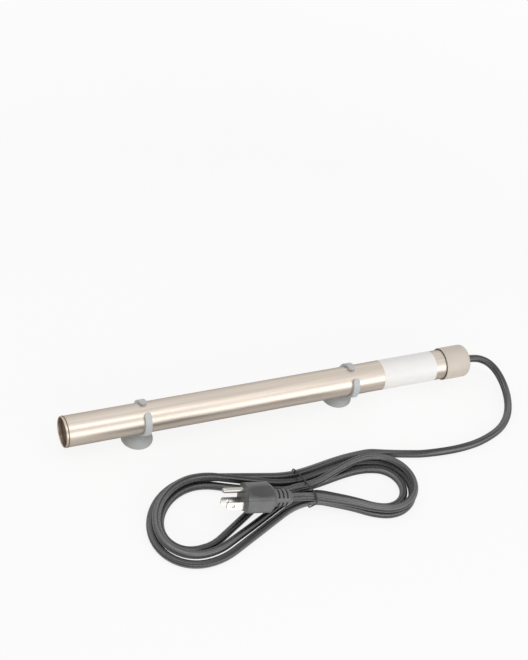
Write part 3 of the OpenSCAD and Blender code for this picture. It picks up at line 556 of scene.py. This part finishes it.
# what is sealed in the tube: two colours, metallic, mean roughness, grain in mm, nodes
inside = dict(
    siliconeRubber=("#b5503c", "#c9634c", 0, 0.6, 0.7, ["bung"]),
    castEpoxy=("#2b2825", "#3a3531", 0, 0.3, 2.5, ["potting"]),
    blackInsulation=("#202021", "#2c2c2d", 0, 0.45, 1.0, ["live_lead"]),
    whiteInsulation=("#dcd8cd", "#ebe8df", 0, 0.45, 1.0, ["neutral_lead"]),
    greenInsulation=("#3c7433", "#4f8a43", 0, 0.45, 1.0, ["earth_lead"]),
    rolledBrass=("#a58d4c", "#c3aa62", 1, 0.35, 0.6, ["earth_tag"]),
    tinnedCopper=("#b9b7b0", "#d2d0c9", 1, 0.35, 0.6, ["crimp_connectors"]),
    lacqueredSteel=("#c8c1ad", "#dcd6c4", 0, 0.4, 1.2, ["thermal_fuse"]),
    glassBraid=("#ddd8c4", "#f0ecdc", 0, 0.8, 0.6, ["fuse_sleeve"]),
    firedCeramic=("#ddd5c7", "#efe9de", 0, 0.7, 0.5, ["ceramic_core", "lower_spacer", "upper_spacer"]),
    oxidisedWire=("#6d5643", "#94745a", 1, 0.45, 0.4, ["heating_coil", "return_rod"]))
insideGrain = dict(roughSpread=0.08, bump=0.05, bumpStrength=0.5)
for name, (dark, light, metallic, dull, size, used) in inside.items():
    material, tree, place = startMaterial(name)
    cells = addNode(tree, "Mapping", {"Vector": place.outputs["Object"], "Scale": cellSize(size)})
    grain = addNode(tree, "TexNoise", {"Vector": cells, "Scale": 1, "Detail": 3})
    colour = addNode(tree, "Mix", {"Factor": grain, mixA: linear(dark), mixB: linear(light)},
                     data_type="RGBA")
    rough = addNode(tree, "MapRange", {"Value": grain, "From Min": noiseLow, "From Max": noiseHigh,
                                       "To Min": dull - insideGrain["roughSpread"],
                                       "To Max": dull + insideGrain["roughSpread"]})
    relief = addNode(tree, "Bump", {"Height": grain, "Distance": insideGrain["bump"] * mm,
                                    "Strength": insideGrain["bumpStrength"]})
    shader = addNode(tree, "BsdfPrincipled", {"Base Color": colour.outputs[mixed], "Roughness": rough,
                                              "Normal": relief, "Metallic": metallic})
    addNode(tree, "OutputMaterial", {"Surface": shader})
    paint(material, *used)

# fused quartz: clear sleeve with faint drawing lines
sleeve = dict(light="#f6fafa", dark="#e8f0f0", lineLong=60, lineWide=1.5, rough=(0.02, 0.08),
              bump=0.02, bumpStrength=0.3, clear=0.9, ior=1.46)
quartz, tree, place = startMaterial("fusedQuartz")
cells = addNode(tree, "Mapping", {"Vector": place.outputs["Object"],
                                  "Scale": cellSize(sleeve["lineLong"], sleeve["lineWide"])})
lines = addNode(tree, "TexNoise", {"Vector": cells, "Scale": 1, "Detail": 2})
colour = addNode(tree, "Mix", {"Factor": lines, mixA: linear(sleeve["dark"]), mixB: linear(sleeve["light"])},
                 data_type="RGBA")
rough = addNode(tree, "MapRange", {"Value": lines, "From Min": noiseLow, "From Max": noiseHigh,
                                   "To Min": sleeve["rough"][0], "To Max": sleeve["rough"][1]})
relief = addNode(tree, "Bump", {"Height": lines, "Distance": sleeve["bump"] * mm,
                                "Strength": sleeve["bumpStrength"]})
shader = addNode(tree, "BsdfPrincipled", {"Base Color": colour.outputs[mixed], "Roughness": rough,
                                          "Normal": relief, "Transmission Weight": sleeve["clear"],
                                          "IOR": sleeve["ior"]})
addNode(tree, "OutputMaterial", {"Surface": shader})
paint(quartz, "quartz_sleeve")
print("materials made")


# studio: a white paper floor, two soft lamps and a white room; sizes in metres, but floorDrop in mm

studio = dict(floorSide=40, floorDrop=0.2, paper="#f4f4f3", white="#ffffff", paperGlow=0.85, roomLevel=0.58,
              fadeFrom=0.4, fadeTo=1.1, mirrorFrom=0.05, mirrorTo=0.13, aim=(0, -0.05, 0.02))
lamps = dict(
    overhead=dict(place=(-0.18, -0.29, 1.2), wide=1.5, tall=0.25, watts=3.6),
    frontLow=dict(place=(0.3, -1.35, 0.38), wide=2.2, tall=0.7, watts=7.8))

bm = bmesh.new()
bmesh.ops.create_grid(bm, x_segments=1, y_segments=1, size=studio["floorSide"] / 2)
bmesh.ops.translate(bm, vec=(0, 0, -studio["floorDrop"] * mm), verts=bm.verts)
floorMesh = bpy.data.meshes.new("studioFloor")
bm.to_mesh(floorMesh)
bm.free()
floor = bpy.data.objects.new("studioFloor", floorMesh)
bpy.context.collection.objects.link(floor)

# white paper: near white to the camera and pure white further out; white in mirrors and through glass
# too, apart from the strip below the tube
paper, tree, place = startMaterial("whitePaper")
rays = addNode(tree, "LightPath")
mirrored = addNode(tree, "Math", {0: rays.outputs["Is Glossy Ray"], 1: rays.outputs["Is Transmission Ray"]},
                   operation="MAXIMUM")
where = addNode(tree, "SeparateXYZ", {"Vector": place.outputs["Object"]})
aside = addNode(tree, "Math", {0: where.outputs["Y"]}, operation="ABSOLUTE")
besideTube = addNode(tree, "MapRange", {"Value": aside, "From Min": studio["mirrorFrom"],
                                        "From Max": studio["mirrorTo"]})
mirrorGlow = addNode(tree, "Math", {0: mirrored, 1: besideTube}, operation="MULTIPLY")
far = addNode(tree, "VectorMath", {0: place.outputs["Object"]}, operation="LENGTH")
fade = addNode(tree, "MapRange", {"Value": far.outputs["Value"], "From Min": studio["fadeFrom"],
                                  "From Max": studio["fadeTo"], "To Min": studio["paperGlow"], "To Max": 1.0})
share = addNode(tree, "Math", {0: rays.outputs["Is Camera Ray"], 1: fade, 2: mirrorGlow},
                operation="MULTIPLY_ADD")
matt = addNode(tree, "BsdfDiffuse", {"Color": linear(studio["paper"])})
glow = addNode(tree, "Emission", {"Color": linear(studio["white"]), "Strength": 1.0})
surface = addNode(tree, "MixShader", {0: share, 1: matt, 2: glow})
addNode(tree, "OutputMaterial", {"Surface": surface})
floorMesh.materials.append(paper)

for name, softbox in lamps.items():
    lamp = bpy.data.lights.new(name, "AREA")
    lamp.shape = "RECTANGLE"
    lamp.size, lamp.size_y, lamp.energy = softbox["wide"], softbox["tall"], softbox["watts"]
    box = bpy.data.objects.new(name, lamp)
    box.location = softbox["place"]
    box.rotation_euler = (Vector(studio["aim"]) - box.location).to_track_quat("-Z", "Y").to_euler()
    bpy.context.collection.objects.link(box)

# the room is white to the camera, to mirrors and through glass, and dimmer as a light
room = bpy.data.worlds.new("whiteRoom")
room.use_nodes = True
bpy.context.scene.world = room
tree = room.node_tree
tree.nodes.clear()
rays = addNode(tree, "LightPath")
seen = addNode(tree, "Math", {0: rays.outputs["Is Camera Ray"], 1: rays.outputs["Is Glossy Ray"]},
               operation="MAXIMUM")
seen = addNode(tree, "Math", {0: seen, 1: rays.outputs["Is Transmission Ray"]}, operation="MAXIMUM")
level = addNode(tree, "MapRange", {"Value": seen, "To Min": studio["roomLevel"], "To Max": 1.0})
sky = addNode(tree, "Background", {"Color": linear(studio["white"]), "Strength": level})
addNode(tree, "OutputWorld", {"Surface": sky})
bpy.context.scene.view_settings.view_transform = "Standard"
print("studio lit")

bpy.context.view_layer.update()
